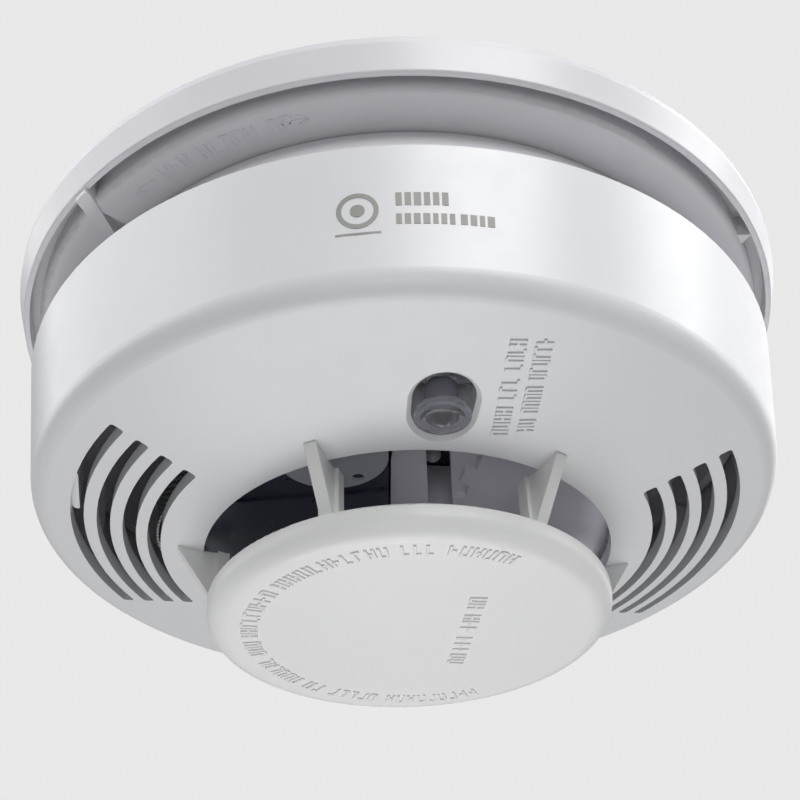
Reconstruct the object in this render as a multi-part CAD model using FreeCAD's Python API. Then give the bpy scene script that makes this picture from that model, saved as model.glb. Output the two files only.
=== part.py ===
"""Ceiling smoke detector: twist-on base plate, housing, front cover with sounder slots and a smoke cap.

Millimetres. Origin at the centre of the base plate's ceiling face, +Z up towards the ceiling, so the
detector hangs below z = 0. The test button is on the -Y side.
"""

import math
import os

import FreeCAD
import Part

V = FreeCAD.Vector

# --- mounting base plate -------------------------------------------------------------------
BASE_R = 55.0
BASE_RIM_Z = -4.7
BASE_RIM_LOW_R = 53.95
BASE_RIM_WALL = 0.75
BASE_FLOOR_Z = -1.8
GROOVE_FLOOR_Z = -1.7
BOSS_R = 51.8
BOSS_IN_R = 44.9
BOSS_Z = -5.2
BOSS_FILLET = 0.8
CHANNEL_OUT_R = 50.4
CHANNEL_IN_R = 47.6
CHANNEL_TOP_Z = -3.1
CHANNEL_RIBS = 12
CABLE_HOLE_R = 20.0
SCREW_SPACING = 60.0
SCREW_SLOT_R = 2.1
SCREW_SLOT_LENGTH = 12.0
LEDGE_R = 43.2
LEDGE_TOP_Z = -3.8
LEDGE_HALF_DEG = 7.5
LEDGE_AZ = (60.0, 180.0, -60.0)
FIN_OUT = (53.2, -144.4)
FIN_IN = (47.2, -148.7)
FIN_W = 2.2
FIN_END_W = 1.4
FIN_LOW_Z = -5.55
NOTCH = [(43.0, -145.4), (50.5, -145.3), (50.9, -146.2), (43.0, -149.5)]
NOTCH_TOP_Z = -3.9
POINTER_AZ = -36.0

# --- rear housing --------------------------------------------------------------------------
NECK_R = 42.6
NECK_TOP_Z = -2.6
SHOULDER_Z = -5.5
SHOULDER_R = 45.6
FLARE_R = 49.55
SEAM_Z = -14.4
SKIRT_R = 48.5
SKIRT_Z = -18.5
REAR_WALL = 1.8
LUG_R = 44.5
LUG_TOP_Z = -2.2
LUG_LOW_Z = -3.4
LUG_HALF_DEG = 7.5

# --- front cover ---------------------------------------------------------------------------
COVER_TOP_R = 51.6
CORNER_R = 49.15
CORNER_Z = -32.6
CORNER_FILLET = 3.2
OPENING_R = 26.8
OPENING_Z = -38.2
COVER_WALL = 1.9
SLOT_RADII = (33.25, 36.45, 39.8, 43.2)
SLOT_W = 1.75
SLOT_SPAN_DEG = 60.8
SLOT_MID_AZ = (-1.4, 181.4)
SLOT_END_FILLET = 0.45
FIN_AZ = (-162.0, 162.0, 18.0, -18.0, 68.0, 112.0)
PARTITION = [(-43.1, -9.5), (-43.5, -2.0)]
PARTITION_T = 1.0
PARTITION_TOP_Z = -28.0
FACE_SLOPE = (CORNER_Z - OPENING_Z) / (CORNER_R - OPENING_R)

# --- smoke cap -----------------------------------------------------------------------------
CAP_R = 25.95
CAP_BACK_Z = -44.7
CAP_FRONT_Z = -48.5
CAP_FILLET = 2.6
CAP_WALL = 1.8
RIB_AZ = (1, 61, 121, 181, 241, 300)
RIB_TIP_R = 30.0
RIB_IN_R = 23.4
RIB_TOP_Z = -38.25
RIB_T = 1.6
RIB_EMBED = 0.12
FOOT_OUT_R = 24.9
FOOT_W = 2.6

# --- test button ---------------------------------------------------------------------------
BUTTON_Y = -32.0
BUTTON_TIP_R = 2.55
BUTTON_TIP_Z = -37.9
BUTTON_FLANGE_R = 3.25
BUTTON_FLANGE_LOW_Z = -37.4
BUTTON_FLANGE_TOP_Z = -36.6
BUTTON_STEM_R = 1.9
TAB_REACH = 4.2
TAB_NEAR_Y = -34.6
TAB_FAR_Y = -32.8
TAB_LOW_Z = -33.1
TAB_TOP_Z = -32.5
HOLE_OUT_Y = -33.85
HOLE_OUT_R = 3.65
HOLE_IN_Y = -32.0
HOLE_IN_R = 3.55
HOLE_RIM = 0.6
LEDGE_STEP_Z = -33.2
CAVITY_R = 4.6
GUIDE_WALL = 1.1
GUIDE_IN_R = 27.3
GUIDE_TOP_Z = -26.5
SWITCH_BODY = 4.4
SWITCH_LOW_Z = -29.9
SWITCH_BORE_TOP_Z = -28.7
PLUNGER_R = 1.2
PLUNGER_TOP_Z = -29.6
PLUNGER_LOW_Z = -31.0

# --- inner parts ---------------------------------------------------------------------------
PCB_TOP_Z = -24.8
PCB_LOW_Z = -26.4
PCB_R = 43.8
PCB_SIDE_X = 28.4
PCB_SIDE_Y = -12.0
SCREW_R = 38.5
SCREW_AZ = (90.0, -45.0, -135.0)
SCREW_SHANK_R = 1.45
BATTERY = (46.4, 26.5, 17.5)
BATTERY_MID_Y = 16.25
BATTERY_TOP_Z = -4.9
POCKET_GAP = 0.45
POCKET_WALL = 1.4
CHAMBER_X = -14.5
CHAMBER_Y = 2.0
CHAMBER_R = 19.4
CHAMBER_CUT_X = -4.7
CHAMBER_TOP_Z = -26.6
CHAMBER_LID_TOP_Z = -34.2
CHAMBER_LID_LOW_Z = -35.8
LID_X = -13.5
LID_R = 21.5
LID_REACH_R = 27.6
LID_SIDE = [(-60, -60), (-4.6, -60), (-4.6, -19.2), (-3.4, -8.2), (-3.4, 60), (-60, 60)]
LID_STEP = [(-30.0, -9.5), (-21.5, -10.7), (-13.3, -12.3), (-3.0, -14.6), (-3.0, 22.0), (-30.0, 22.0)]
LID_STEP_Z = -36.2
LID_STEP_R = 26.2
SHIELD_X = -11.5
SHIELD_Y = -21.2
SHIELD_R = 6.6
SHIELD_REACH_R = 26.3
SHIELD_LOW_Z = -36.2
SHIELD_HOLE = (-8.15, -17.3, 0.75)
SOUNDER_LOW_Z = -34.6
SOUNDER_TOP_Z = -26.6
LED_X = 2.3
LED_Y = -10.8
LED_R = 1.1
LED_TIP_Z = -29.1
PIEZO_X = 17.0
PIEZO_R = 10.5


def face_z(r):
    """Height of the front cover's conical face at radius r."""
    return OPENING_Z + (r - OPENING_R) * FACE_SLOPE


def polar(r, az_deg, z=0.0):
    a = math.radians(az_deg)
    return V(r * math.cos(a), r * math.sin(a), z)


def cyl(r, z0, z1, x=0.0, y=0.0):
    return Part.makeCylinder(r, abs(z1 - z0), V(x, y, min(z0, z1)))


def box(x0, x1, y0, y1, z0, z1):
    return Part.makeBox(x1 - x0, y1 - y0, abs(z1 - z0), V(x0, y0, min(z0, z1)))


def ring(r_out, r_in, z0, z1, x=0.0, y=0.0):
    return cyl(r_out, z0, z1, x, y).cut(cyl(r_in, z0, z1, x, y))


def turned(points, span=360.0, start=0.0):
    """Solid of revolution about Z from (r, z) points."""
    wire = Part.makePolygon([V(r, 0, z) for r, z in points] + [V(points[0][0], 0, points[0][1])])
    solid = Part.Face(wire).revolve(V(0, 0, 0), V(0, 0, 1), span)
    solid.rotate(V(0, 0, 0), V(0, 0, 1), start)
    return solid


def sector(r_in, r_out, z0, z1, mid_deg, half_deg):
    points = [(r_in, z0), (r_out, z0), (r_out, z1), (r_in, z1)]
    return turned(points, 2 * half_deg, mid_deg - half_deg)


def prism(points, z0, z1):
    """Upright solid from (x, y) points."""
    low = min(z0, z1)
    wire = Part.makePolygon([V(x, y, low) for x, y in points] + [V(points[0][0], points[0][1], low)])
    return Part.Face(wire).extrude(V(0, 0, abs(z1 - z0)))


def bar(p, q, p_width, q_width, z0, z1):
    """Upright bar with round ends from p to q."""
    side = (q - p).normalize().cross(V(0, 0, 1))
    p_side = side * (p_width / 2)
    q_side = side * (q_width / 2)
    corners = [p + p_side, q + q_side, q - q_side, p - p_side]
    body = prism([(c.x, c.y) for c in corners], z0, z1)
    return fuse(body, cyl(p_width / 2, z0, z1, p.x, p.y), cyl(q_width / 2, z0, z1, q.x, q.y))


def spun(shape, az_deg):
    out = shape.copy()
    out.rotate(V(0, 0, 0), V(0, 0, 1), az_deg)
    return out


def upright(outline, thick):
    """Plate of (r, z) outline standing in the XZ plane, centred on it."""
    wire = Part.makePolygon([V(r, -thick / 2, z) for r, z in outline + outline[:1]])
    return Part.Face(wire).extrude(V(0, thick, 0))


def fuse(first, *rest):
    out = first
    for shape in rest:
        out = out.fuse(shape)
    return out.removeSplitter()


def slot_cut(x, y, along_x):
    half = SCREW_SLOT_LENGTH / 2 - SCREW_SLOT_R
    dx, dy = (half, 0) if along_x else (0, half)
    ends = [cyl(SCREW_SLOT_R, 1, -3, x + s * dx, y + s * dy) for s in (-1, 1)]
    wx = dx if along_x else SCREW_SLOT_R
    wy = SCREW_SLOT_R if along_x else dy
    return fuse(box(x - wx, x + wx, y - wy, y + wy, -3, 1), *ends)


def circle_edges(shape, r, z, tol=0.05):
    """Full circular edges of a given radius and height."""
    found = []
    for edge in shape.Edges:
        curve = edge.Curve
        if isinstance(curve, Part.Circle) and abs(curve.Radius - r) < tol and abs(curve.Center.z - z) < tol:
            found.append(edge)
    return found


def mounting_base():
    profile = [
        (CABLE_HOLE_R, 0), (CHANNEL_IN_R, 0), (CHANNEL_IN_R, CHANNEL_TOP_Z), (CHANNEL_OUT_R, CHANNEL_TOP_Z),
        (CHANNEL_OUT_R, 0), (BASE_R, 0), (BASE_R, -0.9), (BASE_RIM_LOW_R, BASE_RIM_Z),
        (BASE_RIM_LOW_R - BASE_RIM_WALL, BASE_RIM_Z), (BASE_RIM_LOW_R - BASE_RIM_WALL + 0.1, GROOVE_FLOOR_Z),
        (BOSS_R, GROOVE_FLOOR_Z), (BOSS_R, BOSS_Z), (BOSS_IN_R, BOSS_Z), (BOSS_IN_R, BASE_FLOOR_Z),
        (CABLE_HOLE_R, BASE_FLOOR_Z),
    ]
    plate = turned(profile)
    plate = plate.makeFillet(BOSS_FILLET, circle_edges(plate, BOSS_R, BOSS_Z))
    lip = circle_edges(plate, BASE_RIM_LOW_R, BASE_RIM_Z)
    plate = plate.makeFillet(0.3, lip)
    notch = [polar(r, az) for r, az in NOTCH]
    plate = plate.cut(prism([(p.x, p.y) for p in notch], NOTCH_TOP_Z, BOSS_Z - 1))
    fin = bar(polar(*FIN_OUT), polar(*FIN_IN), FIN_W, FIN_END_W, GROOVE_FLOOR_Z + 0.3, FIN_LOW_Z)
    fin = fin.common(cyl(BASE_RIM_LOW_R - 0.25, 0, -8))
    mark = [(BOSS_R - 0.3, -1.1), (53.2, 0), (BOSS_R - 0.3, 1.1)]
    pointer = spun(prism(mark, GROOVE_FLOOR_Z + 0.3, -4.9), POINTER_AZ)
    ledges = [sector(LEDGE_R, BOSS_IN_R + 0.3, LEDGE_TOP_Z, BOSS_Z, az, LEDGE_HALF_DEG) for az in LEDGE_AZ]
    stops = [sector(LEDGE_R, BOSS_IN_R + 0.3, BASE_FLOOR_Z + 0.3, BOSS_Z, az + LEDGE_HALF_DEG + 1.1, 0.7)
             for az in LEDGE_AZ]
    sleeve = ring(CABLE_HOLE_R + 1.4, CABLE_HOLE_R, 0, -2.1)
    rib_box = box(CHANNEL_IN_R - 0.5, CHANNEL_OUT_R + 0.5, -0.6, 0.6, -0.4, CHANNEL_TOP_Z - 0.2)
    ribs = [spun(rib_box, (i + 0.5) * 360 / CHANNEL_RIBS) for i in range(CHANNEL_RIBS)]
    plate = fuse(plate, fin, pointer, sleeve, *ledges, *stops, *ribs)
    half = SCREW_SPACING / 2
    for x, y, along_x in ((half, 0, True), (-half, 0, True), (0, half, False), (0, -half, False)):
        plate = plate.cut(slot_cut(x, y, along_x))
    return plate


def rear_housing():
    t = REAR_WALL
    shell = turned([
        (0, NECK_TOP_Z), (NECK_R, NECK_TOP_Z), (NECK_R, SHOULDER_Z), (SHOULDER_R, SHOULDER_Z),
        (FLARE_R, SEAM_Z), (SKIRT_R, SEAM_Z), (SKIRT_R, SKIRT_Z), (SKIRT_R - 1.4, SKIRT_Z),
        (SKIRT_R - 1.4, SEAM_Z), (SHOULDER_R - t + 0.6, SHOULDER_Z - t), (NECK_R - t, SHOULDER_Z - t),
        (NECK_R - t, NECK_TOP_Z - t), (0, NECK_TOP_Z - t),
    ])
    lugs = [sector(NECK_R - 0.5, LUG_R, LUG_TOP_Z, LUG_LOW_Z, az, LUG_HALF_DEG) for az in LEDGE_AZ]
    shell = fuse(shell, *lugs)
    bx, by, bz = BATTERY
    x1 = 24.25 + POCKET_GAP
    y0 = BATTERY_MID_Y - by / 2 - POCKET_GAP
    y1 = BATTERY_MID_Y + by / 2 + POCKET_GAP
    low = BATTERY_TOP_Z - bz - 0.1
    w = POCKET_WALL
    well = box(-x1 - w, x1 + w, y0 - w, y1 + w, NECK_TOP_Z - 0.5, low - w)
    posts = []
    for az in SCREW_AZ:
        p = polar(SCREW_R, az)
        posts.append(cyl(3.9, NECK_TOP_Z - 0.5, PCB_TOP_Z + 0.05, p.x, p.y))
    shell = fuse(shell, well, *posts)
    shell = shell.cut(box(-x1, x1, y0, y1, 0, low))
    for az in SCREW_AZ:
        p = polar(SCREW_R, az)
        shell = shell.cut(cyl(2.9, 0, -19.0, p.x, p.y)).cut(cyl(1.6, -19.0, -26.0, p.x, p.y))
    window = box(x1 - 0.2, x1 + w + 0.2, 4.6, 27.9, -8.8, -18.6)
    return shell.cut(window)


def hole_wire(grow, z):
    """Outline of the button's hole: two circles joined by their outer tangents."""
    r0 = HOLE_OUT_R + grow
    r1 = HOLE_IN_R + grow
    lean = math.asin((r0 - r1) / (HOLE_IN_Y - HOLE_OUT_Y))
    cos, sin = math.cos(lean), math.sin(lean)
    a = V(-r0 * cos, HOLE_OUT_Y + r0 * sin, z)
    b = V(r0 * cos, HOLE_OUT_Y + r0 * sin, z)
    c = V(r1 * cos, HOLE_IN_Y + r1 * sin, z)
    d = V(-r1 * cos, HOLE_IN_Y + r1 * sin, z)
    outer = Part.Arc(a, V(0, HOLE_OUT_Y - r0, z), b)
    inner = Part.Arc(c, V(0, HOLE_IN_Y + r1, z), d)
    return Part.Wire([outer.toShape(), Part.LineSegment(b, c).toShape(), inner.toShape(),
                      Part.LineSegment(d, a).toShape()])


def button_hole(z0, z1):
    low = min(z0, z1)
    return Part.Face(hole_wire(0, low)).extrude(V(0, 0, abs(z1 - z0)))


def hole_flare():
    """Chamfer round the hole, square to the cover's sloping face."""
    z = face_z(-HOLE_OUT_Y)
    wires = [hole_wire(0, z + HOLE_RIM), hole_wire(3 * HOLE_RIM, z - 2 * HOLE_RIM)]
    flare = Part.makeLoft(wires, True, True)
    flare.rotate(V(0, HOLE_OUT_Y, z), V(1, 0, 0), -math.degrees(math.atan(FACE_SLOPE)))
    return flare


def cover_blank(inset):
    """Outer form of the front cover, or its hollow when inset by the wall."""
    k = math.hypot(1, FACE_SLOPE)
    rise = inset * k
    top_r = COVER_TOP_R - inset
    corner_r = CORNER_R - inset
    corner_z = face_z(corner_r) + rise
    points = [(0, SEAM_Z + (1 if inset else 0)), (top_r, SEAM_Z + (1 if inset else 0)), (corner_r, corner_z),
              (10, face_z(10) + rise), (0, face_z(10) + rise)]
    blank = turned(points)
    fillet = CORNER_FILLET - inset if inset else CORNER_FILLET
    return blank.makeFillet(fillet, circle_edges(blank, corner_r, corner_z))


def sounder_slot(r, mid_deg):
    half = math.degrees(math.radians(SLOT_SPAN_DEG) / 2)
    cut = sector(r - SLOT_W / 2, r + SLOT_W / 2, -28, -42, mid_deg, half)
    upright = [e for e in cut.Edges if abs(e.Vertexes[0].Z - e.Vertexes[-1].Z) > 10]
    return cut.makeFillet(SLOT_END_FILLET, upright)


def front_cover():
    shell = cover_blank(0).cut(cover_blank(COVER_WALL))
    posts = []
    for az in SCREW_AZ:
        p = polar(SCREW_R, az)
        posts.append(cyl(3.2, face_z(SCREW_R) + 1.0, PCB_LOW_Z - 0.05, p.x, p.y))
    guide = fuse(cyl(CAVITY_R + GUIDE_WALL, face_z(-HOLE_OUT_Y) + 1, GUIDE_TOP_Z, 0, HOLE_OUT_Y),
                 cyl(HOLE_IN_R + 1.2, face_z(-HOLE_IN_Y) + 1, GUIDE_TOP_Z, 0, HOLE_IN_Y))
    guide = guide.cut(cyl(GUIDE_IN_R, -20, -45))
    fin = box(44.2, 48.9, -0.6, 0.6, -19.0, -33.0)
    fins = [spun(fin, az) for az in FIN_AZ]
    shell = fuse(shell, guide, *posts, *fins)
    shell = shell.common(cover_blank(0))
    shell = shell.cut(cyl(OPENING_R, -20, -45))
    for mid in SLOT_MID_AZ:
        for r in SLOT_RADII:
            shell = shell.cut(sounder_slot(r, mid))
    start, end = [V(x, y, 0) for x, y in PARTITION]
    wall = bar(start, end, PARTITION_T, PARTITION_T, PARTITION_TOP_Z, -42)
    wall = wall.common(cover_blank(COVER_WALL - 0.35))
    shell = fuse(shell, wall)
    shell = shell.cut(button_hole(-25, -45)).cut(cyl(CAVITY_R, -25, LEDGE_STEP_Z, 0, HOLE_OUT_Y))
    shell = shell.cut(hole_flare())
    for az in SCREW_AZ:
        p = polar(SCREW_R, az)
        shell = shell.cut(cyl(1.5, -20, -33.0, p.x, p.y))
    return shell


def rib():
    low = CAP_BACK_Z - 1.2
    tip = face_z(RIB_TIP_R) + RIB_EMBED
    edge = face_z(OPENING_R) + RIB_EMBED
    root = CAP_R - 0.4
    outline = [
        (RIB_TIP_R, tip), (RIB_TIP_R + 0.1, tip - 0.35), (root, CAP_BACK_Z + 0.1), (root, low),
        (RIB_IN_R, low), (RIB_IN_R, RIB_TOP_Z), (OPENING_R - 1.2, RIB_TOP_Z), (OPENING_R - 0.2, edge),
    ]
    foot = [(FOOT_OUT_R, low), (RIB_IN_R, low), (RIB_IN_R, RIB_TOP_Z - 0.4), (FOOT_OUT_R, RIB_TOP_Z)]
    return fuse(upright(outline, RIB_T), upright(foot, FOOT_W))


def detector_cap():
    disc = cyl(CAP_R, CAP_BACK_Z, CAP_FRONT_Z)
    disc = disc.makeFillet(CAP_FILLET, circle_edges(disc, CAP_R, CAP_FRONT_Z))
    rim = circle_edges(disc, CAP_R, CAP_BACK_Z)
    disc = disc.makeFillet(0.4, rim)
    disc = disc.cut(cyl(CAP_R - CAP_WALL, CAP_BACK_Z + 1, CAP_FRONT_Z + CAP_WALL))
    ribs = [spun(rib(), az) for az in RIB_AZ]
    return fuse(disc, *ribs)


def test_button():
    tip = cyl(BUTTON_TIP_R, BUTTON_TIP_Z, BUTTON_FLANGE_LOW_Z, 0, BUTTON_Y)
    tip = tip.makeFillet(0.35, circle_edges(tip, BUTTON_TIP_R, BUTTON_TIP_Z))
    flange = cyl(BUTTON_FLANGE_R, BUTTON_FLANGE_LOW_Z, BUTTON_FLANGE_TOP_Z, 0, BUTTON_Y)
    stem = cyl(BUTTON_STEM_R, BUTTON_FLANGE_TOP_Z, PLUNGER_LOW_Z, 0, BUTTON_Y)
    tabs = box(-TAB_REACH, TAB_REACH, TAB_NEAR_Y, TAB_FAR_Y, TAB_LOW_Z, TAB_TOP_Z)
    return fuse(tip, flange, stem, tabs)


def circuit_board():
    board = cyl(PCB_R, PCB_TOP_Z, PCB_LOW_Z)
    for x0, x1 in ((-60, -PCB_SIDE_X), (PCB_SIDE_X, 60)):
        board = board.cut(box(x0, x1, PCB_SIDE_Y, 60, -20, -30))
    for az in SCREW_AZ:
        p = polar(SCREW_R, az)
        board = board.cut(cyl(1.7, -20, -30, p.x, p.y))
    return board


def chamber_plan(r, z0, z1, cut_x):
    drum = cyl(r, z0, z1, CHAMBER_X, CHAMBER_Y)
    return drum.common(box(-60, cut_x, -60, 60, z0, z1))


def chamber_base():
    floor = chamber_plan(CHAMBER_R, CHAMBER_TOP_Z, CHAMBER_TOP_Z - 1.4, CHAMBER_CUT_X)
    vanes = []
    for i in range(14):
        vane = box(-0.5, 0.5, -2.4, 2.4, CHAMBER_TOP_Z - 1.2, CHAMBER_LID_TOP_Z)
        vane.rotate(V(0, 0, 0), V(0, 0, 1), 40)
        vane.translate(V(14.6, 0, 0))
        vane = spun(vane, 82 + i * 200 / 13)
        vane.translate(V(CHAMBER_X, CHAMBER_Y, 0))
        vanes.append(vane)
    return fuse(floor, *vanes)


def chamber_lid():
    lid = cyl(LID_R, CHAMBER_LID_TOP_Z, CHAMBER_LID_LOW_Z, LID_X, 0).common(cyl(LID_REACH_R, -20, -40))
    step = cyl(LID_R - 1, CHAMBER_LID_LOW_Z + 0.2, LID_STEP_Z, LID_X, 0).common(cyl(LID_STEP_R, -20, -40))
    lid = fuse(lid, step.common(prism(LID_STEP, -20, -40)))
    return lid.common(prism(LID_SIDE, -20, -40))


def sensor_shield():
    plate = cyl(SHIELD_R, CHAMBER_LID_LOW_Z, SHIELD_LOW_Z, SHIELD_X, SHIELD_Y)
    plate = plate.common(cyl(SHIELD_REACH_R, -20, -40)).common(prism(LID_SIDE, -20, -40))
    x, y, r = SHIELD_HOLE
    return plate.cut(cyl(r, -30, -40, x, y))


def insect_screen():
    outer = chamber_plan(CHAMBER_R - 0.7, CHAMBER_TOP_Z - 1.4, CHAMBER_LID_TOP_Z, CHAMBER_CUT_X - 0.7)
    inner = chamber_plan(CHAMBER_R - 1.0, CHAMBER_TOP_Z - 1.4, CHAMBER_LID_TOP_Z, CHAMBER_CUT_X - 1.0)
    return outer.cut(inner)


def optic(az_deg):
    """A 3 mm through-hole lamp or sensor lying in the chamber, aimed at its middle."""
    dome = Part.makeCylinder(1.5, 4.0, V(0, 0, 0), V(1, 0, 0))
    nose = Part.makeSphere(1.5, V(0, 0, 0))
    part = fuse(dome, nose)
    part.rotate(V(0, 0, 0), V(0, 0, 1), az_deg)
    at = polar(5.5, az_deg, -31.0)
    part.translate(V(CHAMBER_X + at.x, CHAMBER_Y + at.y, at.z))
    return part


SOUNDER_PLAN = [
    (-4.3, -25.0), (-0.9, -25.0), (2.2, -6.0), (5.4, -6.0), (2.1, -24.6), (8.6, -24.2), (16.0, -21.5),
    (23.5, -16.0), (28.4, -8.0), (29.8, 3.0), (26.0, 14.0), (16.0, 21.5), (-3.1, 24.0), (-3.1, -8.2),
    (-4.3, -19.2),
]
SHELF_PLAN = [
    (0.5, -26.5), (7.1, -26.5), (6.8, -20.6), (6.5, -17.4), (5.2, -17.2), (4.9, -14.7), (6.2, -13.6),
    (6.2, -11.2), (4.4, -10.4), (3.0, -10.4),
]
SHELF_DEPTH = 0.8


def sounder_housing():
    body = prism(SOUNDER_PLAN, SOUNDER_TOP_Z, SOUNDER_LOW_Z)
    body = body.cut(prism(SHELF_PLAN, SOUNDER_LOW_Z - 1, SOUNDER_LOW_Z + SHELF_DEPTH))
    body = body.cut(cyl(LED_R + 0.6, SOUNDER_TOP_Z + 1, LED_TIP_Z - 0.8, LED_X, LED_Y))
    body = body.cut(cyl(PIEZO_R + 0.4, SOUNDER_TOP_Z + 1, SOUNDER_LOW_Z + 1.4, PIEZO_X, 2.0))
    body = body.cut(box(-1.7, 3.2, -3.0, 21.0, SOUNDER_TOP_Z + 1, SOUNDER_LOW_Z + 1.4))
    seat = ring(PIEZO_R + 0.4, PIEZO_R - 1.6, SOUNDER_LOW_Z + 1.4, SOUNDER_LOW_Z + 3.2, PIEZO_X, 2.0)
    return fuse(body, seat).cut(cyl(3.0, -30, -40, PIEZO_X, 2.0))


def piezo_disc():
    z = SOUNDER_LOW_Z + 3.2
    plate = cyl(PIEZO_R, z, z + 0.25, PIEZO_X, 2.0)
    ceramic = cyl(PIEZO_R - 2.6, z + 0.25, z + 0.5, PIEZO_X, 2.0)
    return fuse(plate, ceramic)


def battery():
    bx, by, bz = BATTERY
    y0 = BATTERY_MID_Y - by / 2
    y1 = BATTERY_MID_Y + by / 2
    body = box(-24.25, -24.25 + bx, y0, y1, BATTERY_TOP_Z, BATTERY_TOP_Z - bz)
    body = body.makeFillet(1.6, [e for e in body.Edges if abs(e.Vertexes[0].X - e.Vertexes[-1].X) > 20])
    studs = []
    for y, r in ((BATTERY_MID_Y - 6.35, 2.9), (BATTERY_MID_Y + 6.35, 3.9)):
        studs.append(Part.makeCylinder(r, 2.3, V(-24.25 + bx - 0.2, y, BATTERY_TOP_Z - bz / 2), V(1, 0, 0)))
    return fuse(body, *studs)


def battery_contacts():
    mid = BATTERY_TOP_Z - BATTERY[2] / 2
    out = []
    for y in (BATTERY_MID_Y - 6.35, BATTERY_MID_Y + 6.35):
        plate = box(24.25, 24.85, y - 4.2, y + 4.2, mid + 4.2, mid - 4.2)
        foot = box(24.7, 27.0, y - 1.5, y + 1.5, mid - 3.0, mid - 3.6)
        leg = box(26.5, 27.0, y - 1.5, y + 1.5, mid - 3.0, PCB_TOP_Z)
        out.append(fuse(plate, foot, leg))
    return Part.makeCompound(out)


def test_switch():
    h = SWITCH_BODY / 2
    body = box(-h, h, BUTTON_Y - h, BUTTON_Y + h, PCB_LOW_Z, SWITCH_LOW_Z)
    return body.cut(cyl(PLUNGER_R + 0.1, SWITCH_BORE_TOP_Z, -35, 0, BUTTON_Y))


def status_led():
    z = LED_TIP_Z + LED_R
    foot = cyl(LED_R + 0.3, PCB_LOW_Z, PCB_LOW_Z - 0.6, LED_X, LED_Y)
    return fuse(cyl(LED_R, PCB_LOW_Z, z, LED_X, LED_Y), Part.makeSphere(LED_R, V(LED_X, LED_Y, z)), foot)


def capacitors():
    out = []
    for x, y, r, h in ((-18.0, -28.5, 3.15, 7.2), (17.5, -28.5, 2.5, 6.6), (18.0, 29.5, 2.5, 6.6)):
        can = cyl(r, PCB_LOW_Z, PCB_LOW_Z - h, x, y)
        out.append(can.makeFillet(0.5, circle_edges(can, r, PCB_LOW_Z - h)))
    return Part.makeCompound(out)


def control_chip():
    body = box(-10.0, 10.0, 27.4, 33.8, PCB_LOW_Z - 0.5, PCB_LOW_Z - 3.8)
    pins = []
    for i in range(8):
        x = -8.89 + 2.54 * i
        for y0, y1 in ((26.7, 27.5), (33.7, 34.5)):
            pins.append(box(x - 0.3, x + 0.3, y0, y1, PCB_LOW_Z, PCB_LOW_Z - 2.2))
    return fuse(body, *pins)


def resistors():
    out = []
    for x, y in ((-24.0, 27.0), (-20.5, 29.5), (-17.0, 32.0), (22.5, 24.0), (22.5, 20.6)):
        body = Part.makeCylinder(1.1, 6.0, V(x - 3.0, y, PCB_LOW_Z - 1.1), V(1, 0, 0))
        out.append(body)
    return Part.makeCompound(out)


def housing_screws():
    out = []
    for az in SCREW_AZ:
        p = polar(SCREW_R, az)
        head = cyl(2.7, -19.0, -17.0, p.x, p.y)
        cross = fuse(box(p.x - 1.5, p.x + 1.5, p.y - 0.3, p.y + 0.3, -16.0, -17.9),
                     box(p.x - 0.3, p.x + 0.3, p.y - 1.5, p.y + 1.5, -16.0, -17.9))
        out.append(fuse(head, cyl(SCREW_SHANK_R, -18.8, -32.4, p.x, p.y)).cut(cross))
    return Part.makeCompound(out)


def rating_label():
    plate = box(-16.0, 16.0, -18.0, -4.0, NECK_TOP_Z, NECK_TOP_Z + 0.15)
    return plate.makeFillet(1.5, [e for e in plate.Edges if abs(e.Vertexes[0].Z - e.Vertexes[-1].Z) > 0.1])


PARTS = {
    "mounting_base": mounting_base(),
    "rear_housing": rear_housing(),
    "front_cover": front_cover(),
    "detector_cap": detector_cap(),
    "test_button": test_button(),
    "test_switch": test_switch(),
    "switch_plunger": cyl(PLUNGER_R, PLUNGER_TOP_Z, PLUNGER_LOW_Z, 0, BUTTON_Y),
    "circuit_board": circuit_board(),
    "chamber_base": chamber_base(),
    "chamber_lid": chamber_lid(),
    "sensor_shield": sensor_shield(),
    "insect_screen": insect_screen(),
    "ir_emitter": optic(150.0),
    "photodiode": optic(-130.0),
    "sounder_housing": sounder_housing(),
    "piezo_disc": piezo_disc(),
    "battery_9v": battery(),
    "battery_contacts": battery_contacts(),
    "status_led": status_led(),
    "capacitors": capacitors(),
    "control_chip": control_chip(),
    "resistors": resistors(),
    "housing_screws": housing_screws(),
    "rating_label": rating_label(),
}

os.makedirs("parts", exist_ok=True)
for name, shape in PARTS.items():
    shape.exportStep(os.path.join("parts", name + ".step"))
    print(name, len(shape.Solids), shape.isValid(), round(sum(s.Volume for s in shape.Solids), 1))
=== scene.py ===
"""Looks for the ceiling smoke detector: materials, marks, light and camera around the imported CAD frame."""
import math
import random

import bmesh
import bpy
from mathutils import Matrix, Vector


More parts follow.
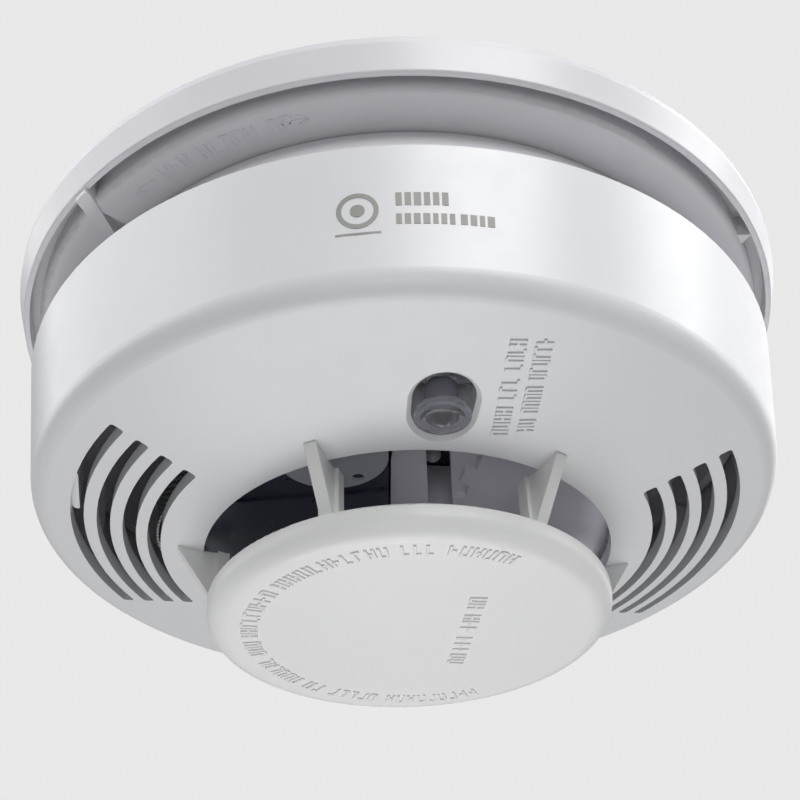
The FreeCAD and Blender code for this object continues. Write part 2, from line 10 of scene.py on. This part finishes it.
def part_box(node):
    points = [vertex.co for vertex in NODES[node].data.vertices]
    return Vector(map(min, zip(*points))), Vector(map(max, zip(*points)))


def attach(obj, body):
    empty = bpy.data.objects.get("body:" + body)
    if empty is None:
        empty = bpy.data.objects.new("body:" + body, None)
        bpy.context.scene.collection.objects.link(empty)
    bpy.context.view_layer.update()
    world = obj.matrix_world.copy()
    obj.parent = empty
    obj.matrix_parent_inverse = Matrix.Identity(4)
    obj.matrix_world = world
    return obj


MM = 0.001
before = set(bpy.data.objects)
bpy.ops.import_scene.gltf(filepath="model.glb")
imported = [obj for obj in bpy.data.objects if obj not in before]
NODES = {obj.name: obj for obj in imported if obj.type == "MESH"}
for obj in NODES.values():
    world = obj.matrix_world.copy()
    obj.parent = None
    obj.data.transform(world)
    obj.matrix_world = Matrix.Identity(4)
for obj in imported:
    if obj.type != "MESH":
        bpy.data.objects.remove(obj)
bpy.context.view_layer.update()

# Faces of the CAD solids that the marks stand on, in millimetres: the cap's flat face, the base's boss,
# and the cover's cone and side wall, each from a lower to an upper edge.
CAP_FACE_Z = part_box("detector_cap")[0].z / MM
BOSS_FACE_Z = -5.2
OPENING_R, OPENING_Z = 26.8, -38.2
CORNER_R, CORNER_Z = 49.15, -32.6
WALL_TOP_R, WALL_TOP_Z = 51.6, -14.4

# How far the marks stand out of a face and how far they are sunk into it, in millimetres.
RELIEF = 0.2
BOSS_RELIEF = 0.14
SINK = 0.15
PRINT = 0.03
PRINT_SINK = 0.01

# Each raised tick: how wide it is to its pitch, where its link sits, how often it has a second upright,
# and the gap after a group.
TICK_WIDTH = 0.56
LINK_HEIGHT = 0.43
SECOND_UPRIGHT = 0.55
GROUP_GAP = 0.8

# Radii of the arcs that marks follow, in millimetres.
CAP_ARC_R = 21.3
BOSS_ARC_R = 48.9
BOSS_TEXT_R = 49.0
WALL_PRINT_R = 50.3

# Half the battery's printed length along X, in metres.
BATTERY_HALF = 0.0243

# The rounding of the raised marks' edges, in metres.
MARK_BEVEL = 0.00004

# The camera: 39 degrees from below, 8 degrees to the left of the button. Places are in metres.
CAMERA_AT = (-0.02059, -0.14292, -0.11704)
CAMERA_RIGHT = (0.99247, -0.11830, -0.03183)
CAMERA_UP = (-0.04440, -0.58946, 0.80658)
CAMERA_LENS = 55.38

# Light, in watts and world strength. Places are in metres and every lamp points at the body's middle.
GLOW = 0.30
BACKDROP = (0.812, 0.812, 0.815)
FLOOR_Z = -2.2
FLOOR_SIZE = 60.0
FLOOR_LIFT = 0.50
LAMP_AIM = (0, 0, -0.03)
LAMPS = (
    ("front_key", (0.277, -1.025, 0.583), (0.7, 0.7), 11.0),
    ("left_fill", (-1.098, 0.094, 0.607), (1.6, 1.0), 10.4),
    ("right_strip", (0.91, -0.25, 0.57), (0.45, 0.55), 3.0),
    ("back_fill", (1.030, 0.379, 0.604), (1.4, 1.0), 6.0),
    ("under_softbox", (0.0, 0.30, -0.92), (0.7, 0.7), 4.8),
    ("low_front", (-0.15, -0.95, -0.50), (0.5, 0.3), 1.0),
    ("low_back_glint", (0.11, 0.76, -0.67), (0.16, 0.16), 0.6),
)


# --- materials -----------------------------------------------------------------------------

def node(tree, kind, **values):
    made = tree.nodes.new(kind)
    for key, value in values.items():
        if key in made.inputs:
            made.inputs[key].default_value = value
        else:
            setattr(made, key, value)
    return made


def ramp(tree, source, stops, interpolation="LINEAR"):
    made = tree.nodes.new("ShaderNodeValToRGB")
    made.color_ramp.interpolation = interpolation
    while len(made.color_ramp.elements) < len(stops):
        made.color_ramp.elements.new(0.5)
    for element, (place, colour) in zip(made.color_ramp.elements, stops):
        element.position = place
        element.color = (*colour, 1.0)
    tree.links.new(source, made.inputs["Fac"])
    return made.outputs["Color"]


def shade(colour, k):
    return tuple(min(1.0, c * k) for c in colour)


def fresh(name):
    """A new material's tree, its Principled shader and object coordinates."""
    mat = bpy.data.materials.new(name)
    mat.use_nodes = True
    tree = mat.node_tree
    shader = tree.nodes["Principled BSDF"]
    coords = tree.nodes.new("ShaderNodeTexCoord").outputs["Object"]
    return mat, tree, shader, coords


def noise(tree, coords, scale, detail=3.0, rough=0.5):
    made = node(tree, "ShaderNodeTexNoise", Scale=scale, Detail=detail, Roughness=rough)
    tree.links.new(coords, made.inputs["Vector"])
    return made.outputs["Fac"]


def remap(tree, source, low, high):
    made = node(tree, "ShaderNodeMapRange")
    made.inputs["From Min"].default_value = 0.3
    made.inputs["From Max"].default_value = 0.7
    made.inputs["To Min"].default_value = low
    made.inputs["To Max"].default_value = high
    tree.links.new(source, made.inputs["Value"])
    return made.outputs["Result"]


def bump(tree, shader, heights):
    """Chains (height socket, depth in metres) pairs into the shader's normal."""
    normal = None
    for height, depth in heights:
        made = node(tree, "ShaderNodeBump", Strength=1.0, Distance=depth)
        tree.links.new(height, made.inputs["Height"])
        if normal is not None:
            tree.links.new(normal, made.inputs["Normal"])
        normal = made.outputs["Normal"]
    tree.links.new(normal, shader.inputs["Normal"])


def moulded(name, colour, rough, mottle=0.02, grain=2600.0, grain_depth=6e-6, coat=0.0, coat_rough=0.2,
            waves=45.0, wave_depth=4e-5, subsurface=0.0):
    """Injection-moulded plastic: faint flow mottling, spark-eroded grain and slow sink waviness."""
    mat, tree, shader, coords = fresh(name)
    broad = noise(tree, coords, 60.0)
    tree.links.new(ramp(tree, broad, [(0.3, shade(colour, 1 - mottle)), (0.7, shade(colour, 1 + mottle))]),
                   shader.inputs["Base Color"])
    tree.links.new(remap(tree, noise(tree, coords, 400.0), rough * 0.88, rough * 1.12),
                   shader.inputs["Roughness"])
    bump(tree, shader, [(noise(tree, coords, waves, 1.0), wave_depth),
                        (noise(tree, coords, grain, 4.0), grain_depth)])
    shader.inputs["IOR"].default_value = 1.5
    shader.inputs["Coat Weight"].default_value = coat
    shader.inputs["Coat Roughness"].default_value = coat_rough
    if subsurface:
        shader.inputs["Subsurface Weight"].default_value = subsurface
        shader.inputs["Subsurface Radius"].default_value = (1.0, 1.0, 1.0)
        shader.inputs["Subsurface Scale"].default_value = 0.0012
    return mat


def clear_plastic(name, tint, clear=1.0, rough=0.06):
    mat, tree, shader, coords = fresh(name)
    tree.links.new(ramp(tree, noise(tree, coords, 300.0), [(0.3, shade(tint, 0.97)), (0.7, tint)]),
                   shader.inputs["Base Color"])
    tree.links.new(remap(tree, noise(tree, coords, 900.0), rough * 0.7, rough * 1.3),
                   shader.inputs["Roughness"])
    bump(tree, shader, [(noise(tree, coords, 350.0, 2.0), 1.5e-5)])
    shader.inputs["Transmission Weight"].default_value = clear
    shader.inputs["IOR"].default_value = 1.49
    return mat


def metal(name, colour, rough, streak=1200.0):
    mat, tree, shader, coords = fresh(name)
    tree.links.new(ramp(tree, noise(tree, coords, 250.0), [(0.3, shade(colour, 0.88)), (0.7, colour)]),
                   shader.inputs["Base Color"])
    tree.links.new(remap(tree, noise(tree, coords, streak), rough * 0.7, rough * 1.3),
                   shader.inputs["Roughness"])
    bump(tree, shader, [(noise(tree, coords, streak, 5.0), 4e-6)])
    shader.inputs["Metallic"].default_value = 1.0
    return mat


def printed_board(name):
    mat, tree, shader, coords = fresh(name)
    tracks = node(tree, "ShaderNodeTexBrick", Scale=260.0, offset=0.37)
    tracks.inputs["Color1"].default_value = (0.014, 0.018, 0.034, 1)
    tracks.inputs["Color2"].default_value = (0.018, 0.023, 0.042, 1)
    tracks.inputs["Mortar"].default_value = (0.035, 0.045, 0.07, 1)
    tracks.inputs["Mortar Size"].default_value = 0.03
    tree.links.new(coords, tracks.inputs["Vector"])
    tree.links.new(tracks.outputs["Color"], shader.inputs["Base Color"])
    tree.links.new(remap(tree, noise(tree, coords, 700.0), 0.25, 0.4), shader.inputs["Roughness"])
    bump(tree, shader, [(tracks.outputs["Fac"], 3e-5)])
    return mat


def battery_sleeve(name):
    """A plain printed sleeve: slate grey body, one pale band, and the bare metal end plate."""
    mat, tree, shader, coords = fresh(name)
    split = node(tree, "ShaderNodeSeparateXYZ")
    tree.links.new(coords, split.inputs[0])
    span = node(tree, "ShaderNodeMapRange")
    span.inputs["From Min"].default_value = -BATTERY_HALF
    span.inputs["From Max"].default_value = BATTERY_HALF
    tree.links.new(split.outputs["X"], span.inputs["Value"])
    bands = [(0.0, (0.09, 0.12, 0.16)), (0.72, (0.50, 0.52, 0.55)), (0.80, (0.09, 0.12, 0.16)),
             (0.957, (0.6, 0.6, 0.62))]
    tree.links.new(ramp(tree, span.outputs["Result"], bands, "CONSTANT"), shader.inputs["Base Color"])
    tree.links.new(remap(tree, noise(tree, coords, 500.0), 0.2, 0.34), shader.inputs["Roughness"])
    bump(tree, shader, [(noise(tree, coords, 120.0, 2.0), 3e-5)])
    return mat


def woven_screen(name):
    """Fine steel mesh: bright wires over dark gaps."""
    mat, tree, shader, coords = fresh(name)
    grid = node(tree, "ShaderNodeTexChecker", Scale=2400.0)
    grid.inputs["Color1"].default_value = (0.5, 0.5, 0.5, 1)
    grid.inputs["Color2"].default_value = (0.04, 0.04, 0.045, 1)
    tree.links.new(coords, grid.inputs["Vector"])
    tree.links.new(grid.outputs["Color"], shader.inputs["Base Color"])
    bump(tree, shader, [(grid.outputs["Fac"], 5e-5)])
    shader.inputs["Metallic"].default_value = 0.8
    shader.inputs["Roughness"].default_value = 0.35
    return mat


WHITE = (0.71, 0.715, 0.73)
MATERIALS = {
    "cover": moulded("white_cover_abs", WHITE, 0.36, mottle=0.012, coat=0.12, coat_rough=0.25),
    "base": moulded("white_base_abs", (0.73, 0.725, 0.755), 0.36, mottle=0.012, coat=0.10),
    "rear": moulded("white_rear_abs", (0.73, 0.73, 0.76), 0.38, mottle=0.012),
    "cap": moulded("white_cap_abs", (0.82, 0.82, 0.815), 0.38, mottle=0.010, coat=0.06, coat_rough=0.3),
    "black": moulded("black_gloss_abs", (0.012, 0.014, 0.024), 0.16, mottle=0.2, coat=0.4, coat_rough=0.08),
    # The navy lid, the dark grey shield and the satin grey parts inside the body are mixed lighter than their
    # plastics: painted fill light where little light reaches inside.
    "navy": moulded("navy_black_abs_painted_fill", (0.022, 0.027, 0.052), 0.30, mottle=0.15),
    "shield": moulded("dark_grey_abs_painted_fill", (0.46, 0.48, 0.53), 0.5, mottle=0.10),
    "grey": moulded("grey_satin_abs_painted_fill", (0.76, 0.75, 0.83), 0.42, mottle=0.05),
    "chip": moulded("matt_black_epoxy", (0.02, 0.02, 0.022), 0.6, mottle=0.25, grain_depth=2e-5),
    "label": moulded("silver_label", (0.62, 0.63, 0.65), 0.35, mottle=0.03, grain=5000.0),
    "sleeve": moulded("capacitor_sleeve", (0.02, 0.03, 0.09), 0.25, mottle=0.15, coat=0.3),
    "lacquer": moulded("resistor_lacquer", (0.50, 0.36, 0.20), 0.3, mottle=0.12, coat=0.3),
    "print": moulded("grey_pad_print", (0.31, 0.31, 0.29), 0.5, mottle=0.10, grain=4000.0, grain_depth=1e-5),
    "clear": clear_plastic("clear_button_acrylic", (0.90, 0.90, 0.96), 0.92, 0.04),
    "led": clear_plastic("clear_lamp_epoxy", (0.92, 0.92, 0.95)),
    "diffused": moulded("diffused_lamp_epoxy", (0.82, 0.82, 0.84), 0.25, mottle=0.02, subsurface=0.5),
    "steel": metal("plated_steel", (0.62, 0.62, 0.64), 0.3),
    "brass": metal("brass_disc", (0.72, 0.55, 0.27), 0.32),
    "board": printed_board("dark_circuit_board"),
    "battery": battery_sleeve("battery_sleeve"),
    "screen": woven_screen("insect_mesh"),
}

FINISH = {
    "mounting_base": "base", "rear_housing": "rear", "front_cover": "cover", "detector_cap": "cap",
    "test_button": "clear", "test_switch": "chip", "switch_plunger": "grey", "circuit_board": "board",
    "chamber_base": "black", "chamber_lid": "navy", "sensor_shield": "shield", "insect_screen": "screen",
    "ir_emitter": "led", "photodiode": "chip", "sounder_housing": "grey", "piezo_disc": "brass", "battery_9v": "battery",
    "battery_contacts": "steel", "status_led": "diffused", "capacitors": "sleeve", "control_chip": "chip",
    "resistors": "lacquer", "housing_screws": "steel", "rating_label": "label",
}


def dress_nodes():
    for name, obj in NODES.items():
        obj.data.materials.clear()
        obj.data.materials.append(MATERIALS[FINISH[name]])


# --- relief and print marks ----------------------------------------------------------------

def on_cap_arc(mid_r, x, y):
    """Maps (degrees, up) to an arc about (x, y) on the cap's flat face, with up towards its centre."""
    def place(u, v, h):
        a = math.radians(u)
        return Vector((x + (mid_r - v) * math.cos(a), y + (mid_r - v) * math.sin(a), CAP_FACE_Z - h))
    return place


def on_cap_line(x, y):
    def place(u, v, h):
        return Vector((x + v, y + u, CAP_FACE_Z - h))
    return place


def on_face_line(x, y):
    """Maps onto the front cover's cone, reading outwards along -Y."""
    slope = (CORNER_Z - OPENING_Z) / (CORNER_R - OPENING_R)

    def place(u, v, h):
        px, py = x + v, y - u
        z = OPENING_Z + (math.hypot(px, py) - OPENING_R) * slope
        return Vector((px, py, z - h))
    return place


def on_boss(mid_r):
    def place(u, v, h):
        a = math.radians(u)
        return Vector(((mid_r + v) * math.cos(a), (mid_r + v) * math.sin(a), BOSS_FACE_Z - h))
    return place


def on_wall(mid_z):
    """Maps (degrees, up) to the front cover's side wall."""
    lean = (WALL_TOP_R - CORNER_R) / (WALL_TOP_Z - CORNER_Z)

    def place(u, v, h):
        z = mid_z + v
        r = CORNER_R + (z - CORNER_Z) * lean + h
        a = math.radians(u)
        return Vector((r * math.cos(a), r * math.sin(a), z))
    return place


def quad_block(bm, place, corners, height, sink, taper):
    """A low block over four (u, v) corners, standing height above the surface and sunk a little into it."""
    cu = sum(c[0] for c in corners) / 4
    cv = sum(c[1] for c in corners) / 4
    low = [bm.verts.new(place(u, v, -sink) * MM) for u, v in corners]
    top = [bm.verts.new(place(cu + (u - cu) * taper, cv + (v - cv) * taper, height) * MM) for u, v in corners]
    bm.faces.new(top)
    bm.faces.new(low[::-1])
    for i in range(4):
        j = (i + 1) % 4
        bm.faces.new((low[i], low[j], top[j], top[i]))


def bar(bm, place, u0, u1, v0, v1, height, sink, pieces=1, taper=0.86):
    for i in range(pieces):
        a = u0 + (u1 - u0) * i / pieces
        b = u0 + (u1 - u0) * (i + 1) / pieces
        quad_block(bm, place, [(a, v0), (b, v0), (b, v1), (a, v1)], height, sink, taper)


def stroke(bm, place, p, q, width, unit, height, sink):
    """A straight stroke from p to q; unit is how many u steps make one millimetre."""
    du, dv = (q[0] - p[0]) / unit, q[1] - p[1]
    length = math.hypot(du, dv)
    nu, nv = -dv / length * width / 2 * unit, du / length * width / 2
    corners = [(p[0] + nu, p[1] + nv), (p[0] - nu, p[1] - nv), (q[0] - nu, q[1] - nv), (q[0] + nu, q[1] + nv)]
    quad_block(bm, place, corners, height, sink, 0.9)


def tick_words(bm, place, start, words, tall, unit, height, sink, rng, pitch=1.55, line=0.34):
    """Groups of upright ticks, linked at random at the top, middle or foot, in place of raised wording.

    They spell nothing, though a linked pair can look like an H, an L or a U.
    """
    u = start
    for ticks in words:
        for _ in range(ticks):
            w = pitch * TICK_WIDTH
            left, right = u, u + w * unit
            stroke(bm, place, (left, -tall / 2), (left, tall / 2), line, unit, height, sink)
            link = rng.choice((-1, 0, 1)) * tall * LINK_HEIGHT
            stroke(bm, place, (left, link), (right, link), line, unit, height, sink)
            if rng.random() < SECOND_UPRIGHT:
                stroke(bm, place, (right, -tall / 2), (right, tall / 2), line, unit, height, sink)
            u += pitch * unit
        u += pitch * GROUP_GAP * unit


def arrow(bm, place, tail, tip, unit, height, sink, line=0.38, head=1.3):
    stroke(bm, place, (tail, 0), (tip, 0), line, unit, height, sink)
    back = -math.copysign(head, unit if tip > tail else -unit) * abs(unit)
    for side in (-1, 1):
        stroke(bm, place, (tip, 0), (tip + back, side * head * 0.62), line, unit, height, sink)


def finish_marks(bm, name, material, body, bevel=MARK_BEVEL):
    bmesh.ops.recalc_face_normals(bm, faces=bm.faces)
    mesh = bpy.data.meshes.new(name)
    bm.to_mesh(mesh)
    bm.free()
    obj = bpy.data.objects.new(name, mesh)
    bpy.context.scene.collection.objects.link(obj)
    mesh.materials.append(MATERIALS[material])
    if bevel:
        mod = obj.modifiers.new("soft_edges", "BEVEL")
        mod.width = bevel
        mod.segments = 2
        mod.limit_method = "ANGLE"
        mod.angle_limit = math.radians(30)
    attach(obj, body)


def relief_marks():
    """The raised rows on the cap, the cover and the base, with a plain arrow at each end of the last."""
    rng = random.Random(7)
    deg = math.degrees(1 / CAP_ARC_R)
    bm = bmesh.new()
    place = on_cap_arc(CAP_ARC_R, 0.8, -0.7)
    groups = [9, 5, 2, 6, 3, 9, 11, 3, 6]
    tick_words(bm, place, 60.5, groups, 2.3, deg, RELIEF, SINK, rng, pitch=1.45, line=0.40)
    finish_marks(bm, "cap_rim_relief", "cap", "detector")
    bm = bmesh.new()
    tick_words(bm, on_cap_line(7.1, -10.4), 0.0, [2, 3, 5], 2.3, 1.0, RELIEF, SINK, rng, pitch=1.68, line=0.40)
    finish_marks(bm, "cap_line_relief", "cap", "detector")
    bm = bmesh.new()
    tick_words(bm, on_face_line(6.95, -29.3), 0.0, [4, 3, 4], 2.1, 1.0, RELIEF, SINK, rng, pitch=1.08)
    tick_words(bm, on_face_line(9.9, -29.8), 0.0, [2, 4, 6], 2.1, 1.0, RELIEF, SINK, rng, pitch=0.98)
    finish_marks(bm, "test_note_relief", "cover", "detector")
    deg = math.degrees(1 / BOSS_TEXT_R)
    bm = bmesh.new()
    place = on_boss(BOSS_ARC_R)
    arrow(bm, place, -134.6, -138.8, deg, BOSS_RELIEF, SINK)
    tick_words(bm, place, -133.2, [3, 5, 2], 2.3, deg, BOSS_RELIEF, SINK, rng, pitch=1.62)
    arrow(bm, place, -113.6, -109.4, deg, BOSS_RELIEF, SINK)
    finish_marks(bm, "twist_direction_relief", "base", "base")


def printed_mark():
    """A plain grey print on the side wall: a ring and dot over a line, and two rows of bars."""
    rng = random.Random(11)
    deg = math.degrees(1 / WALL_PRINT_R)
    place = on_wall(-23.0)
    bm = bmesh.new()
    centre = -102.6
    steps = 28
    for r0, r1 in ((1.75, 2.3), (0.02, 0.8)):
        for i in range(steps):
            a, b = 2 * math.pi * i / steps, 2 * math.pi * (i + 1) / steps
            ends = ((r0, a), (r1, a), (r1, b), (r0, b))
            corners = [(centre + r * math.cos(t) * deg, r * math.sin(t)) for r, t in ends]
            quad_block(bm, place, corners, PRINT, PRINT_SINK, 1.0)
    bar(bm, place, -105.4, -99.8, -3.1, -2.85, PRINT, PRINT_SINK, 4, 1.0)
    for v, tall, words in ((1.25, 1.7, [6]), (-1.35, 1.35, [7, 4])):
        u = -97.9
        for ticks in words:
            for _ in range(ticks):
                w = rng.uniform(0.55, 0.8) * deg
                bar(bm, place, u, u + w, v - tall / 2, v + tall / 2, PRINT, PRINT_SINK, 1, 1.0)
                u += w + 0.3 * deg
            u += 0.3 * deg
    finish_marks(bm, "side_wall_print", "print", "detector", bevel=0)


# --- stage, light and camera ---------------------------------------------------------------

def stage():
    """A plain floor well below the body. Emission that only the camera sees lifts it to a pale tone."""
    bpy.ops.mesh.primitive_plane_add(size=FLOOR_SIZE, location=(0, 0, FLOOR_Z))
    floor = bpy.context.active_object
    floor.name = "floor"
    mat, tree, shader, coords = fresh("pale_floor")
    tones = [(0.3, (0.80, 0.80, 0.80)), (0.7, (0.82, 0.82, 0.82))]
    tree.links.new(ramp(tree, noise(tree, coords, 3.0), tones), shader.inputs["Base Color"])
    shader.inputs["Roughness"].default_value = 0.8
    shader.inputs["Emission Color"].default_value = (1, 1, 1, 1)
    path = tree.nodes.new("ShaderNodeLightPath")
    lift = node(tree, "ShaderNodeMath", operation="MULTIPLY")
    lift.inputs[1].default_value = FLOOR_LIFT
    tree.links.new(path.outputs["Is Camera Ray"], lift.inputs[0])
    tree.links.new(lift.outputs[0], shader.inputs["Emission Strength"])
    floor.data.materials.append(mat)


def area_light(name, place, size, power):
    data = bpy.data.lights.new(name, "AREA")
    data.shape = "RECTANGLE"
    data.size, data.size_y = size
    data.energy = power
    obj = bpy.data.objects.new(name, data)
    bpy.context.scene.collection.objects.link(obj)
    obj.location = place
    obj.rotation_euler = (Vector(LAMP_AIM) - Vector(place)).to_track_quat("-Z", "Y").to_euler()
    obj.visible_camera = False


def lighting():
    """A backdrop that only the camera sees, dimmer soft light all round, and soft boxes above and below."""
    world = bpy.data.worlds.new("pale_studio")
    bpy.context.scene.world = world
    world.use_nodes = True
    tree = world.node_tree
    glow = tree.nodes["Background"]
    glow.inputs["Color"].default_value = (0.80, 0.81, 0.83, 1)
    glow.inputs["Strength"].default_value = GLOW
    backdrop = node(tree, "ShaderNodeBackground", Color=(*BACKDROP, 1), Strength=1.0)
    path = tree.nodes.new("ShaderNodeLightPath")
    mix = tree.nodes.new("ShaderNodeMixShader")
    tree.links.new(path.outputs["Is Camera Ray"], mix.inputs[0])
    tree.links.new(glow.outputs[0], mix.inputs[1])
    tree.links.new(backdrop.outputs[0], mix.inputs[2])
    tree.links.new(mix.outputs[0], tree.nodes["World Output"].inputs["Surface"])
    for name, place, size, power in LAMPS:
        area_light(name, place, size, power)


def camera():
    """The view from below, with the test button towards the camera."""
    data = bpy.data.cameras.new("photo_camera")
    data.sensor_width = 36.0
    data.lens = CAMERA_LENS
    data.clip_start = 0.005
    obj = bpy.data.objects.new("photo_camera", data)
    bpy.context.scene.collection.objects.link(obj)
    right = Vector(CAMERA_RIGHT)
    up = Vector(CAMERA_UP)
    axes = Matrix((right, up, right.cross(up))).transposed()
    obj.matrix_world = Matrix.Translation(CAMERA_AT) @ axes.to_4x4()
    bpy.context.scene.camera = obj


def colour_management():
    view = bpy.context.scene.view_settings
    view.view_transform = "Standard"
    view.look = "None"


dress_nodes()
relief_marks()
printed_mark()
stage()
lighting()
camera()
colour_management()
